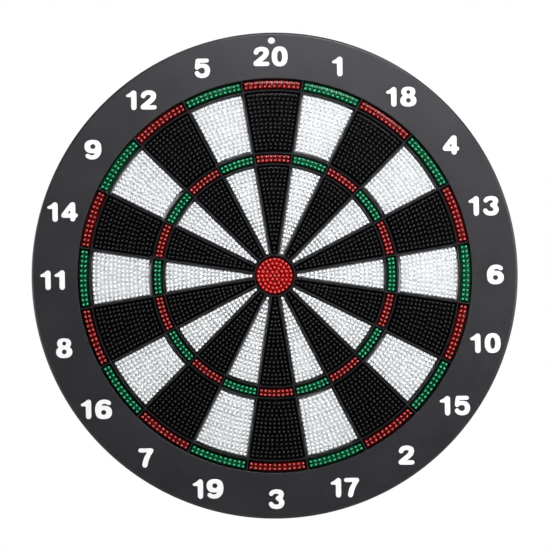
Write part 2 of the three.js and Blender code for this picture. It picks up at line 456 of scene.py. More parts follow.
def frame_plastic():
    """Dark grey moulded plastic with a fine spark-eroded grain."""
    n = Nodes("frame_plastic")
    cloud = n.noise(38, 4, 0.6)
    speck = n.noise(1.7, 3, 0.6)
    grain = n.noise(0.42, 2, 0.6)
    tone = n.mix(n.remap(cloud, 0.3, 0.7, 0, 1), (0.0115, 0.0111, 0.0135), (0.0145, 0.0141, 0.0168))
    tone = n.mix(n.remap(speck, 0.55, 0.8, 0, 0.55), tone, (0.025, 0.0245, 0.028))
    rough = n.math("ADD", n.remap(cloud, 0.3, 0.7, 0.32, 0.36), n.remap(speck, 0.3, 0.7, -0.03, 0.04))
    n.set(color=tone, roughness=rough, specular=0.5)
    n.bump([(grain, 0.030), (n.noise(6, 2, 0.5), 0.035)])
    return n.mat


def nub_plastic(name, deep, base, tip, rough, specular=0.5):
    """Soft moulded plastic. Each nub is a slightly different tone, and its tip is
    painted paler: a painted highlight for the glint on its domed top."""
    n = Nodes(name)
    each = n.noise(5.5, 1, 0.5)
    fine = n.noise(0.5, 2, 0.6)
    depth = n.depth()
    body = n.mix(n.remap(each, 0.3, 0.7, 0, 1), deep, base)
    # top marks the nub tips; the tip colour mixed in there is a painted highlight, lighter than the body for the glint
    # on the dome.
    top = n.remap(depth, 0.0236, 0.0249, 0, 1, smooth=True)
    tone = n.mix(n.math("MULTIPLY", top, n.remap(each, 0.3, 0.7, 0.75, 1.0)), body, tip)
    low = n.remap(depth, 0.0205, 0.0236, -0.11, 0.0, smooth=True)
    value = n.math("ADD", n.remap(each, 0.25, 0.75, rough - 0.03, rough + 0.04), n.math("ADD", low, n.remap(fine, 0.3, 0.7, -0.02, 0.02)))
    n.set(color=tone, roughness=value, specular=specular)
    n.bump([(fine, 0.010)])
    return n.mat


def number_paint():
    n = Nodes("number_paint")
    cloud = n.noise(3.0, 3, 0.6)
    fine = n.noise(0.35, 2, 0.6)
    tone = n.mix(n.remap(cloud, 0.3, 0.7, 0, 1), (0.80, 0.81, 0.79), (0.86, 0.872, 0.85))
    rough = n.math("ADD", n.remap(cloud, 0.3, 0.7, 0.42, 0.5), n.remap(fine, 0.3, 0.7, -0.03, 0.03))
    n.set(color=tone, roughness=rough, specular=0.4)
    n.bump([(fine, 0.008), (cloud, 0.02)])
    return n.mat


def cover_plastic():
    n = Nodes("cover_plastic")
    cloud = n.noise(45, 4, 0.6)
    grain = n.noise(0.8, 3, 0.65)
    flow = n.noise(9, 2, 0.5, distortion=1.5)
    tone = n.mix(n.remap(cloud, 0.3, 0.7, 0, 1), (0.010, 0.010, 0.011), (0.017, 0.017, 0.018))
    tone = n.mix(n.remap(flow, 0.52, 0.75, 0, 0.5), tone, (0.026, 0.026, 0.028))
    rough = n.math("ADD", n.remap(cloud, 0.3, 0.7, 0.48, 0.58), n.remap(grain, 0.3, 0.7, -0.04, 0.05))
    n.set(color=tone, roughness=rough, specular=0.45)
    n.bump([(grain, 0.06), (flow, 0.05)])
    return n.mat


def screw_steel():
    n = Nodes("screw_steel")
    cloud = n.noise(1.6, 3, 0.6)
    fine = n.noise(0.18, 2, 0.6)
    tone = n.mix(n.remap(cloud, 0.3, 0.7, 0, 1), (0.46, 0.46, 0.47), (0.62, 0.62, 0.61))
    rough = n.math("ADD", n.remap(cloud, 0.3, 0.7, 0.24, 0.38), n.remap(fine, 0.3, 0.7, -0.03, 0.04))
    n.set(color=tone, roughness=rough, metallic=1.0)
    n.bump([(fine, 0.006), (cloud, 0.01)])
    return n.mat


def floor_paper():
    """Pale studio paper, evenly bright to the eye however far it is from the lights."""
    n = Nodes("floor_paper")
    cloud = n.noise(400, 3, 0.5)
    fine = n.noise(2.0, 2, 0.6)
    n.set(color=n.mix(cloud, (0.50, 0.50, 0.49), (0.54, 0.54, 0.53)), roughness=0.85, specular=0.2)
    n.bump([(fine, 0.05)])
    seen = n.new("ShaderNodeLightPath").outputs["Is Camera Ray"]
    n.bsdf.inputs["Emission Color"].default_value = (1, 1, 1, 1)
    n.link(n.math("MULTIPLY", seen, 0.52), n.bsdf.inputs["Emission Strength"])
    return n.mat


FRAME = frame_plastic()
# In each nub plastic below, the fourth colour (the tip) is a painted highlight, paler than the body for the glint on
# the domed tips.
BLACK = nub_plastic("nub_black", (0.0008, 0.0008, 0.0009), (0.0013, 0.0013, 0.0014), (0.0060, 0.0060, 0.0064), 0.27, 0.38)
WHITE = nub_plastic("nub_white", (0.86, 0.88, 0.87), (0.895, 0.915, 0.905), (0.91, 0.93, 0.92), 0.36)
RED = nub_plastic("nub_red", (0.17, 0.0014, 0.0012), (0.225, 0.0020, 0.0018), (0.58, 0.070, 0.064), 0.27)
# The bull's red is painted about twice as bright as the other reds: painted glow from the close-packed nubs lighting
# each other.
BULL_PAINTED_GLOW = nub_plastic("nub_red_middle", (0.47, 0.0030, 0.0026), (0.55, 0.0045, 0.0040), (0.76, 0.068, 0.060), 0.27)
GREEN = nub_plastic("nub_green", (0.0008, 0.108, 0.032), (0.0014, 0.142, 0.044), (0.028, 0.42, 0.195), 0.27)
PAINT = number_paint()
COVER = cover_plastic()
STEEL = screw_steel()


# ------------------------------------------------------------------ front frame


def arc_points(cx, cz, r, a0, a1, n):
    return [(cx + r * math.cos(a0 + (a1 - a0) * i / n), cz + r * math.sin(a0 + (a1 - a0) * i / n)) for i in range(n + 1)]


def rim_shell():
    under = Z_RIM - RIM_PLATE
    inner, outer = R_FIELD, R_OUTER - WALL_OUTER
    wall = inner + 0.6 + WALL_INNER
    p = []
    p += arc_points(R_OUTER - 0.4, 0.4, 0.4, -math.pi / 2, 0, 3)
    p += [(R_OUTER, 3.0), (R_OUTER - 0.12, 3.12), (R_OUTER - 0.45, 3.35), (R_OUTER - 0.45, 3.85), (R_OUTER - 0.12, 4.08), (R_OUTER, 4.2)]
    p += arc_points(R_OUTER - RIM_EDGE, Z_RIM - RIM_EDGE, RIM_EDGE, 0, math.pi / 2, 8)
    p += arc_points(inner + 0.55, Z_RIM - 0.45, 0.45, math.pi / 2, math.pi, 4)
    p += [(inner - 0.15, Z_RIM - 2.4), (inner - 0.9, Z_WEB_BACK + 2.5), (inner - 1.1, Z_WEB_BACK - 0.04), (wall, Z_WEB_BACK - 0.04)]
    p += arc_points(wall + 0.8, under - 0.8, 0.8, math.pi, math.pi / 2, 3)
    p += arc_points(outer - 0.8, under - 0.8, 0.8, math.pi / 2, 0, 3)
    p += [(outer, 0.0)]
    return lathe(p, 360)


WEB_SIDE = [(1.35, 0.0), (1.20, 2.2), (0.95, 5.2), (0.74, 7.9), (0.56, 9.6), (0.44, 10.35), (0.32, 10.65), (0.16, 10.80)]


def web_profile(z0, z1, grow=0.0):
    """The (across, z) section of a web wall: a narrow rounded crest on drafted sides
    that widen to a foot on the base plates."""
    tall = z1 - z0
    side = [(t + grow, z0 + z / WEB_SIDE[-1][1] * tall) for t, z in WEB_SIDE]
    return [(-side[0][0], z0), *side, *[(-t, z) for t, z in side[::-1][:-1]]]


def web_rings():
    shells = []
    for r, n in ((R_DOUBLE, 360), (R_TREBLE_OUT, 240), (R_TREBLE_IN, 240), (R_BULL, 120)):
        shells.append(lathe([(r + t, z) for t, z in web_profile(Z_WEB_BACK, Z_RIM - 0.05)], n, start=rad(0.5)))
    return gather(shells)


def web_walls():
    shells = []
    for k in range(20):
        section = web_profile(Z_WEB_BACK + 0.02, Z_RIM - 0.08, 0.01)
        shells.append(bar_along(section, R_BULL - 0.1, R_FIELD + 1.2, web_mid(k)))
    return gather(shells)


def frame_back():
    """Stiffening ribs, screw bosses and the tube of the hanging hole."""
    under = Z_RIM - RIM_PLATE
    ribs = []
    inner = R_FIELD + 0.6
    for k in range(20):
        mid = field_mid(k)
        c, s = math.cos(mid), math.sin(mid)
        side = [(inner + 1, 15), (R_OUTER - 1, 8), (R_OUTER - 1, under + 1), (inner + 1, under + 1)]
        rings = [[(r * c - t * s, r * s + t * c, z) for r, z in side] for t in (0.7, -0.7)]
        ribs.append(loft(rings))
    bosses, pilots = [], []
    for k in range(SCREW_COUNT):
        x, y = polar(SCREW_R, screw_mid(k))
        b = BOSS_D / 2
        bosses.append(stack(x, y, [(b - 0.4, Z_BOSS), (b, Z_BOSS + 0.4), (b, under - 1.2), (b + 0.4, under - 0.4), (b + 1.2, under + 0.2), (b + 1.2, under + 1.3)], 32))
        q = PILOT_D / 2
        pilots.append(stack(x, y, [(q + 1.5, Z_BOSS - 1), (q, Z_BOSS + 0.5), (q, Z_BOSS + PILOT_DEPTH - 0.8), (0.4, Z_BOSS + PILOT_DEPTH)], 24))
    h, q = HANG_BOSS / 2, HANG_BORE / 2
    hang = stack(0, HANG_R, [(h - 0.3, 0.05), (h, 0.35), (h, under + 1.6)], 48)
    bore = stack(0, HANG_R, [(q + 0.5, -0.6), (q + 0.5, 0.0), (q, 0.5), (q, Z_RIM - 0.25), (q + 0.08, Z_RIM - 0.08), (q + 0.25, Z_RIM), (q + 0.25, Z_RIM + 1)], 48)
    return gather(ribs), gather(bosses), hang, gather([bore, *pilots])


ribs, bosses, hang, bores = frame_back()
frame_mesh = combine(
    rim_shell(),
    [
        ("UNION", web_rings()),
        ("UNION", web_walls()),
        ("UNION", ribs),
        ("UNION", bosses),
        ("UNION", hang),
        ("DIFFERENCE", bores),
    ],
)
piece("frame_moulding", frame_mesh, FRAME, ["front_frame"], angle=40)


# ------------------------------------------------------------------ nub inserts

OUTER_ROWS = [(156.4, 12), (152.9, 12), (149.4, 11), (145.8, 11), (142.2, 11), (138.6, 11), (135.0, 10), (131.4, 10),
              (127.8, 10), (124.3, 10), (120.7, 9), (117.1, 9), (113.6, 8), (110.2, 8)]
INNER_ROWS = [(92.9, 7), (89.5, 7), (85.9, 7), (82.35, 6), (78.7, 6), (75.0, 6), (71.4, 5), (67.8, 5), (64.15, 5),
              (60.6, 4), (57.0, 4), (53.6, 4), (50.1, 4), (46.55, 4), (43.0, 3), (39.5, 3), (35.8, 3), (32.0, 2),
              (28.25, 2), (24.1, 1), (20.65, 1)]
DOUBLE_ROWS = [(167.0, 12), (163.7, 12)]
TREBLE_ROWS = [(103.1, 8), (99.8, 8)]

NUB_SIDES = 8
NUB_EDGE = 1.25  # how far a block reaches past the middle of its outermost nubs
Z_FLOOR = {"nub_black": 18.6, "nub_red": 18.8, "nub_green": 18.8, "nub_white": 19.3}  # top of the blocks that carry the nubs
ROOT_RINGS = [(1.40, -0.35), (1.38, 0.02), (1.24, 0.45)]  # above the block's top
TIP_RINGS = [(1.12, 24.15), (1.04, 24.52), (0.87, 24.74), (0.46, 24.93)]


def nub_places(rows, mid, edge, first=0, step=1):
    out = []
    for r, n in rows:
        lim = rad(9) - math.asin(edge / r)
        for i in range(first, n, step):
            u = 0.0 if n == 1 else 2 * i / (n - 1) - 1
            u *= 1 + 0.03 * (1 - u * u)
            out.append(polar(r, mid + lim * u))
    return out


def nubs(places, floor, seed, wider=1.03):
    """Every nub of a piece: a tapered post with a flared root and a domed tip, each
    turned, sized and leaning a little differently."""
    rng = np.random.default_rng(seed)
    profile = [(r, floor + z) for r, z in ROOT_RINGS] + TIP_RINGS
    n, m = NUB_SIDES, len(profile)
    a = np.arange(n) * 2 * math.pi / n
    points, faces = [], []
    for x, y in places:
        turn = rng.uniform(0, 2 * math.pi / n)
        lean = rng.normal(0, 0.05, 2)
        wide = (1 + rng.normal(0, 0.012)) * wider
        low = abs(rng.normal(0, 0.04))
        base = len(points) * (n * m + 1)
        ca, sa = np.cos(a + turn), np.sin(a + turn)
        block = np.zeros((n * m + 1, 3))
        for j, (r, z) in enumerate(profile):
            t = max(0.0, (z - floor) / (DEPTH - floor))
            zz = z - low * t
            block[j * n:(j + 1) * n, 0] = x + lean[0] * t * t + r * wide * ca
            block[j * n:(j + 1) * n, 1] = y + lean[1] * t * t + r * wide * sa
            block[j * n:(j + 1) * n, 2] = zz
        block[n * m] = (x + lean[0], y + lean[1], DEPTH - 0.005 - low)
        for j in range(m - 1):
            for k in range(n):
                q = (k + 1) % n
                faces.append([base + j * n + k, base + j * n + q, base + (j + 1) * n + q, base + (j + 1) * n + k])
        faces.append([base + k for k in range(n)][::-1])
        for k in range(n):
            faces.append([base + (m - 1) * n + k, base + (m - 1) * n + (k + 1) % n, base + n * m])
        points.append(block)
    return Shell(np.concatenate(points), faces)


def field_base(r0, r1, rows, mid, edge, floor):
    """A field's plate behind the web and the block that carries its nubs, with a rounded
    edge and a narrow gap to the web. The top's faces meet at the middles of the nubs."""
    n = max(3, int(round(2 * rad(9) * r1 / 1.5)))
    rim = field_outline(r0 - LAP, r1 + LAP, mid, WEB / 2 - LAP, n)
    low, high = min(r for r, count in rows), max(r for r, count in rows)
    rings = [at_z(rim, Z_PLATE_BOTTOM), at_z(rim, Z_PLATE_TOP)]
    for grow, z in ((NUB_EDGE, Z_PLATE_TOP), (NUB_EDGE, floor - 0.35), (NUB_EDGE - 0.1, floor - 0.1), (NUB_EDGE - 0.35, floor)):
        rings.append(at_z(field_outline(low - grow, high + grow, mid, edge - grow, n), z))
    base = loft(rings, cap_end=False)
    return lid(base, len(rim), nub_places(rows, mid, edge))


def lid(base, count, middles):
    """Closes a loft's last ring with triangles that also meet at the middles."""
    outline = base.xyz()[-count:]
    first = base.count - count
    z = outline[0, 2]
    flat = [Vector((x, y)) for x, y, _ in outline] + [Vector(p) for p in middles]
    out = delaunay_2d_cdt(flat, [], [list(range(count))], 0, 1e-6)
    base.add(Shell([(x, y, z) for x, y in middles]))
    for tri, owner in zip(out[2], out[5]):
        if owner:
            base.faces.append([first + out[3][i][0] for i in tri])
    return base


def field_insert(name, r0, r1, rows, mid, edge, material, node, slot, seed):
    # neighbours meet at their roots in the narrow rows, so every other one goes on first
    floor = Z_FLOOR[slot]
    tools = [("UNION", nubs(nub_places(rows, mid, edge, i, 2), floor, seed + i, 1.1 if slot == "nub_white" else 1.02)) for i in range(2)]
    me = combine(field_base(r0, r1, rows, mid, edge, floor), tools)
    return piece(name, me, material, [node], angle=50, flat_faces=False)


for k, number in enumerate(NUMBERS):
    label = "%02d" % number
    mid = field_mid(k)
    material, slot = (WHITE, "nub_white") if k % 2 else (BLACK, "nub_black")
    field_insert("outer_nubs_" + label, R_TREBLE_OUT + WEB / 2, R_DOUBLE - WEB / 2, OUTER_ROWS, mid, 3.40, material, "outer_single_" + label, slot, 1200 + 2 * k)
    field_insert("inner_nubs_" + label, R_BULL + WEB / 2, R_TREBLE_IN - WEB / 2, INNER_ROWS, mid, 3.35, material, "inner_single_" + label, slot, 2200 + 2 * k)


def pad_ring(name, r0, r1, rows, edge, carrier, first, material, node, slot, seed):
    pads, stems, places = [], [], []
    for k in range(first, 20, 2):
        mid = field_mid(k)
        pads.append(field_base(r0, r1, rows, mid, edge, Z_FLOOR[slot]))
        stems.append(prism(field_outline(carrier[0] + 0.7, carrier[1] - 0.4, mid, 0.0, 10, rad(3)), Z_CARRIER_TOP - 0.5, Z_PLATE_BOTTOM + 0.5))
        places += nub_places(rows, mid, edge)
    hoop = lathe([(carrier[0], Z_CARRIER_BOTTOM), (carrier[1], Z_CARRIER_BOTTOM), (carrier[1], Z_CARRIER_TOP), (carrier[0], Z_CARRIER_TOP)], 240)
    me = combine(gather(pads), [("UNION", gather(stems)), ("UNION", hoop), ("UNION", nubs(places, Z_FLOOR[slot], seed))])
    return piece(name, me, material, [node], angle=50, flat_faces=False)


pad_ring("double_nubs_red", R_DOUBLE + WEB / 2, R_FIELD, DOUBLE_ROWS, 3.30, (161.0, 164.9), 0, RED, "double_ring_red", "nub_red", 301)
pad_ring("double_nubs_green", R_DOUBLE + WEB / 2, R_FIELD, DOUBLE_ROWS, 3.30, (165.7, 169.6), 1, GREEN, "double_ring_green", "nub_green", 302)
pad_ring("treble_nubs_red", R_TREBLE_IN + WEB / 2, R_TREBLE_OUT - WEB / 2, TREBLE_ROWS, 2.90, (97.0, 100.7), 0, RED, "treble_ring_red", "nub_red", 303)
pad_ring("treble_nubs_green", R_TREBLE_IN + WEB / 2, R_TREBLE_OUT - WEB / 2, TREBLE_ROWS, 2.90, (101.5, 105.2), 1, GREEN, "treble_ring_green", "nub_green", 304)

bull_places = [(0.0, 0.0)]
for ring_no in range(1, 5):
    for i in range(6 * ring_no):
        bull_places.append(polar(3.55 * ring_no, math.pi * 2 * i / (6 * ring_no)))
bull_r, bull_e, bull_floor = R_BULL - WEB / 2 + LAP, 14.2 + NUB_EDGE, Z_FLOOR["nub_red"]
bull_rings = [(bull_r - 0.2, Z_PLATE_BOTTOM), (bull_r, Z_PLATE_BOTTOM + 0.2), (bull_r, Z_PLATE_TOP), (bull_e, Z_PLATE_TOP),
              (bull_e, bull_floor - 0.35), (bull_e - 0.1, bull_floor - 0.1), (bull_e - 0.35, bull_floor)]
bull_base = lid(loft([at_z(circle(0, 0, r, 72), z) for r, z in bull_rings], cap_end=False), 72, bull_places)
bull_mesh = combine(bull_base, [("UNION", nubs(bull_places, bull_floor, 305))])
piece("bull_nubs", bull_mesh, BULL_PAINTED_GLOW, ["bull_insert"], angle=50, flat_faces=False)


# ------------------------------------------------------------------ back cover


def cover_shell():
    edge = R_OUTER - WALL_OUTER - GAP
    disc = lathe([(0, 0), (edge - 0.4, 0), (edge - 0.12, 0.12), (edge, 0.4), (edge, COVER_T), (0, COVER_T)], 360)
    lip = lathe([(202, COVER_T - 0.5), (204, COVER_T - 0.5), (204, 5.7), (203.7, 6), (202.3, 6), (202, 5.7)], 240)
    top, low, z0 = Z_PLATE_BOTTOM - GAP, Z_CARRIER_BOTTOM - GAP, COVER_T - 0.5
    hub = lathe([(6, z0), (13, z0), (13, top - 0.3), (12.7, top), (6.3, top), (6, top - 0.3)], 96)
    ribs, pads, cuts = [], [], []
    for k in range(20):
        mid = field_mid(k)
        c, s = math.cos(mid), math.sin(mid)
        side = [(12.3, z0), (170, z0), (170, low), (159.9, low), (159.9, top - 0.01), (105.9, top - 0.01), (105.9, low), (96.3, low), (96.3, top - 0.01), (12.3, top - 0.01)]
        ribs.append(loft([[(r * c - t * s, r * s + t * c, z) for r, z in side] for t in (RIB_T / 2, -RIB_T / 2)]))
    for k in range(SCREW_COUNT):
        x, y = polar(SCREW_R, screw_mid(k))
        p, q, w = COVER_PAD_D / 2, COUNTERBORE_D / 2, CLEAR_D / 2
        pads.append(stack(x, y, [(p + 0.6, z0), (p + 0.6, COVER_T), (p, COVER_T + 0.6), (p, COVER_PAD_Z - 0.3), (p - 0.3, COVER_PAD_Z)], 40))
        cuts.append(stack(x, y, [(q + 0.35, -1), (q + 0.35, 0.0), (q, 0.35), (q, COUNTERBORE_Z), (w, COUNTERBORE_Z), (w, COVER_PAD_Z + 1)], 40))
    notch = HANG_BOSS / 2 + GAP
    cuts.append(stack(0, HANG_R, [(notch + 0.3, -1), (notch + 0.3, 0.0), (notch, 0.3), (notch, 8)], 48))
    for k in range(10):
        mid = rad(90 + 36 * k)

        def ring(grow, z):
            return at_z(field_outline(POCKET_R[0] - grow, POCKET_R[1] + grow, mid, 4 - grow, 36, rad(18)), z)

        cuts.append(loft([ring(0.45, -1), ring(0.45, -0.0), ring(0.1, 0.25), ring(-0.05, POCKET_DEPTH - 0.15), ring(-0.3, POCKET_DEPTH)]))
    # the gate mark in the middle, a shallow ring around it, and ejector pin marks
    cuts.append(stack(0, 0, [(5.3, -1), (5.3, 0), (5.0, 0.35)], 48))
    cuts.append(lathe([(61.6, -1), (66.4, -1), (66.4, 0), (66.0, 0.4), (62.0, 0.4), (61.6, 0)], 240))
    for r, count, first in ((30.0, 5, 18), (182.0, 10, 54)):
        for i in range(count):
            x, y = polar(r, rad(first + 360 / count * i))
            cuts.append(stack(x, y, [(2.6, -1), (2.6, 0.12), (2.5, 0.16)], 28))
    return disc, lip, hub, gather(ribs), gather(pads), gather(cuts)


disc, lip, hub, cover_ribs, cover_pads, cover_cuts = cover_shell()
cover_mesh = combine(
    disc,
    [("UNION", lip), ("UNION", hub), ("UNION", cover_ribs), ("UNION", cover_pads), ("DIFFERENCE", cover_cuts)],
)
piece("cover_moulding", cover_mesh, COVER, ["back_cover"], angle=35)


# ------------------------------------------------------------------ screws


def screw_thread(x, y, z0, z1, core, crest, pitch, sides=20):
    """A post along z with a helical thread, pointed at its far end."""
    levels = int(round((z1 - z0) / (pitch / 8)))
    rings = []
    for j in range(levels + 1):
        z = z0 + (z1 - z0) * j / levels
        ring = []
        for k in range(sides):
            a = 2 * math.pi * k / sides
            phase = ((z - z0) / pitch - k / sides) % 1.0
            h = max(0.0, 1 - abs(phase - 0.5) / 0.28)
            point = min(1.0, (z1 - z) / 2.6)
            start = min(1.0, (z - z0) / 0.8)
            r = core * (0.35 + 0.65 * point) + (crest - core) * h * min(start, 0.2 + point)
            ring.append((x + r * math.cos(a), y + r * math.sin(a), z))
        rings.append(ring)
    return loft(rings)


def screw_parts(x, y, turn):
    top = COUNTERBORE_Z - GAP
    head = loft([at_z(circle(x, y, r, 32), z) for r, z in
                 [(1.2, 0.30), (2.1, 0.36), (2.85, 0.58), (3.25, 0.90), (3.4, 1.25), (3.4, top - 0.25), (3.25, top)]])
    shank = screw_thread(x, y, top - 0.4, top + 12, 1.08, 1.5, 1.25)
    slots = []
    for i in range(2):
        a = turn + math.pi / 2 * i
        c, s = math.cos(a), math.sin(a)

        def ring(length, width, z):
            corners = [(-length, -width), (length, -width), (length, width), (-length, width)]
            return [(x + u * c - v * s, y + u * s + v * c, z) for u, v in corners]

        grow = 0.012 * i
        slots.append(loft([ring(2.05 + grow, 0.42 + grow, 0.1 - grow), ring(1.1 + grow, 0.26 + grow, 1.45 + grow)]))
    return head, shank, slots


for k in range(SCREW_COUNT):
    x, y = polar(SCREW_R, screw_mid(k))
    head, shank, slots = screw_parts(x, y, rad(37 * k + 11))
    me = combine(head, [("UNION", shank), ("DIFFERENCE", slots[0]), ("DIFFERENCE", slots[1])])
    piece("screw_%02d" % (k + 1), me, STEEL, ["cover_screw_%02d" % (k + 1)], angle=40)


# ------------------------------------------------------------------ numbers

# Heavy rounded numerals, 17 mm high. Each is drawn as brush strokes of (x, y, radius)
# control points, from the middle of its own box.
STROKES = {
    "1": [[(2.15, 6.15, 2.35), (2.15, -6.15, 2.35)], [(-3.35, 3.95, 1.2), (-0.6, 5.0, 1.5), (1.9, 6.7, 1.8)], [(-3.3, 3.8, 1.05), (1.0, 4.1, 1.35)]],
    "2": [[(-4.55, 3.7, 2.1), (-3.4, 5.6, 2.0), (0.1, 6.6, 1.95), (3.6, 5.5, 2.2), (4.25, 3.0, 2.3), (2.6, 0.2, 2.2), (-1.0, -2.7, 2.1), (-4.9, -5.7, 2.0)],
          [(-5.1, -6.2, 1.85), (0.0, -6.35, 1.85), (5.05, -6.25, 1.9)]],
    "3": [[(-4.3, 4.7, 1.95), (-3.0, 6.0, 1.9), (0.2, 6.65, 1.85), (3.6, 5.8, 2.1), (4.3, 3.8, 2.2), (3.2, 1.7, 2.0), (0.9, 0.7, 1.6)],
          [(0.9, 0.5, 1.6), (3.4, -0.6, 2.1), (4.6, -3.3, 2.3), (3.4, -5.7, 2.1), (0.1, -6.6, 1.9), (-3.2, -5.9, 1.95), (-4.7, -4.1, 1.95)]],
    "4": [[(2.0, 6.2, 2.0), (-1.6, 2.0, 1.9), (-5.2, -2.6, 1.9)], [(-5.2, -3.2, 1.9), (5.3, -3.2, 1.85)], [(2.75, 6.1, 2.25), (2.75, -6.1, 2.3)]],
    "5": [[(-4.0, 6.6, 1.8), (3.9, 6.6, 1.8)], [(-4.0, 6.5, 1.85), (-4.6, 0.9, 1.95)],
          [(-4.6, 0.6, 1.9), (-3.0, 1.7, 1.75), (0.2, 2.3, 1.8), (3.4, 1.0, 2.15), (4.35, -1.9, 2.3), (3.4, -5.1, 2.15), (0.1, -6.6, 1.9), (-3.3, -5.8, 1.95), (-4.7, -4.2, 1.95)]],
    "7": [[(-4.8, 6.6, 1.8), (4.7, 6.6, 1.8)], [(4.7, 6.3, 1.9), (2.4, 3.0, 2.1), (0.3, -1.2, 2.3), (-1.0, -6.1, 2.3)]],
    "6": [[(4.7, 5.2, 1.85), (3.0, 6.2, 1.85), (0.6, 6.6, 1.85), (-2.6, 5.5, 2.1), (-4.6, 2.4, 2.35), (-4.95, -1.5, 2.4)]],
}


def catmull(points, step=0.12):
    p = np.array(points, float)
    if len(p) == 2:
        n = max(2, int(np.linalg.norm(p[1, :2] - p[0, :2]) / step))
        t = np.linspace(0, 1, n)[:, None]
        return p[0] * (1 - t) + p[1] * t
    p = np.vstack([2 * p[0] - p[1], p, 2 * p[-1] - p[-2]])
    out = []
    for i in range(1, len(p) - 2):
        n = max(2, int(np.linalg.norm(p[i + 1, :2] - p[i, :2]) / step))
        t = np.linspace(0, 1, n, endpoint=i == len(p) - 3)[:, None]
        out.append(0.5 * (2 * p[i] + (p[i + 1] - p[i - 1]) * t + (2 * p[i - 1] - 5 * p[i] + 4 * p[i + 1] - p[i + 2]) * t ** 2
                          + (3 * p[i] - p[i - 1] - 3 * p[i + 1] + p[i + 2]) * t ** 3))
    return np.vstack(out)


STEP = 0.1
gx = np.arange(-9.0, 9.0 + STEP / 2, STEP)
gy = np.arange(-10.4, 10.4 + STEP / 2, STEP)
GX, GY = np.meshgrid(gx, gy)


def oval(cx, cy, a, b, power=2.2):
    f = (np.abs((GX - cx) / a) ** power + np.abs((GY - cy) / b) ** power) ** (1 / power) - 1
    dy, dx = np.gradient(f, STEP)
    return f / np.maximum(np.hypot(dx, dy), 1e-3)


def strokes(key):
    d = np.full(GX.shape, 99.0)
    for line in STROKES[key]:
        for x, y, r in catmull(line):
            d = np.minimum(d, np.hypot(GX - x, GY - y) - r)
    return d


def soften(d, size=3):
    for _ in range(size):
        d = (d + np.roll(d, 1, 0) + np.roll(d, -1, 0) + np.roll(d, 1, 1) + np.roll(d, -1, 1)) / 5
    return d


def glyph(key):
    if key == "0":
        d = np.maximum(oval(0, 0, 6.9, 8.65, 2.35), -oval(0, 0, 2.1, 4.95, 2.3))
    elif key == "8":
        body = np.minimum(oval(0, 4.15, 6.1, 4.45, 2.3), oval(0, -3.45, 7.0, 5.15, 2.3))
        d = np.maximum(body, -np.minimum(oval(0, 4.0, 1.75, 1.75, 2), oval(0, -3.2, 2.1, 2.05, 2)))
    elif key in "69":
        body = np.minimum(strokes("6"), oval(0.15, -2.75, 7.15, 5.85, 2.3))
        d = np.maximum(body, -oval(0.05, -2.75, 2.25, 2.15, 2))
        if key == "9":
            d = d[::-1, ::-1]
    else:
        d = strokes(key)
    return soften(d, 6)


def contours(d):
    """Closed loops of d = 0, solid on the left, in millimetres."""
    inside = d < 0
    mixed = np.zeros((d.shape[0] - 1, d.shape[1] - 1), int)
    mixed += inside[:-1, :-1] * 1 + inside[:-1, 1:] * 2 + inside[1:, 1:] * 4 + inside[1:, :-1] * 8
    follow, spot = {}, {}

    def edge(i, j, side):
        # side 0: bottom, 1: right, 2: top, 3: left of the cell at row i, column j
        if side == 0:
            key, p, q = ("h", i, j), (i, j), (i, j + 1)
        elif side == 2:
            key, p, q = ("h", i + 1, j), (i + 1, j), (i + 1, j + 1)
        elif side == 3:
            key, p, q = ("v", i, j), (i, j), (i + 1, j)
        else:
            key, p, q = ("v", i, j + 1), (i, j + 1), (i + 1, j + 1)
        if key not in spot:
            t = d[p] / (d[p] - d[q])
            spot[key] = (gx[p[1]] * (1 - t) + gx[q[1]] * t, gy[p[0]] * (1 - t) + gy[q[0]] * t)
        return key

    table = {1: [(0, 3)], 2: [(1, 0)], 3: [(1, 3)], 4: [(2, 1)], 5: [(0, 3), (2, 1)], 6: [(2, 0)], 7: [(2, 3)],
             8: [(3, 2)], 9: [(0, 2)], 10: [(1, 0), (3, 2)], 11: [(1, 2)], 12: [(3, 1)], 13: [(0, 1)], 14: [(3, 0)]}
    for i, j in zip(*np.nonzero((mixed > 0) & (mixed < 15))):
        for a, b in table[int(mixed[i, j])]:
            follow[edge(i, j, a)] = edge(i, j, b)
    loops = []
    while follow:
        start = next(iter(follow))
        loop, at = [], start
        while at in follow:
            loop.append(spot[at])
            at = follow.pop(at)
        loops.append(np.array(loop))
    return loops


def resample(loop, spacing):
    closed = np.vstack([loop, loop[:1]])
    length = np.concatenate([[0], np.cumsum(np.linalg.norm(np.diff(closed, axis=0), axis=1))])
    n = max(16, int(round(length[-1] / spacing)))
    t = np.arange(n) * length[-1] / n
    return np.column_stack([np.interp(t, length, closed[:, 0]), np.interp(t, length, closed[:, 1])])


def smooth(loop, times=2):
    for _ in range(times):
        loop = loop * 0.5 + (np.roll(loop, 1, 0) + np.roll(loop, -1, 0)) * 0.25
    return loop


def inset(loop, by):
    ahead = np.roll(loop, -1, 0) - np.roll(loop, 1, 0)
    ahead /= np.linalg.norm(ahead, axis=1)[:, None]
    left = np.column_stack([-ahead[:, 1], ahead[:, 0]])
    return loop + left * by


RAISE = 0.36


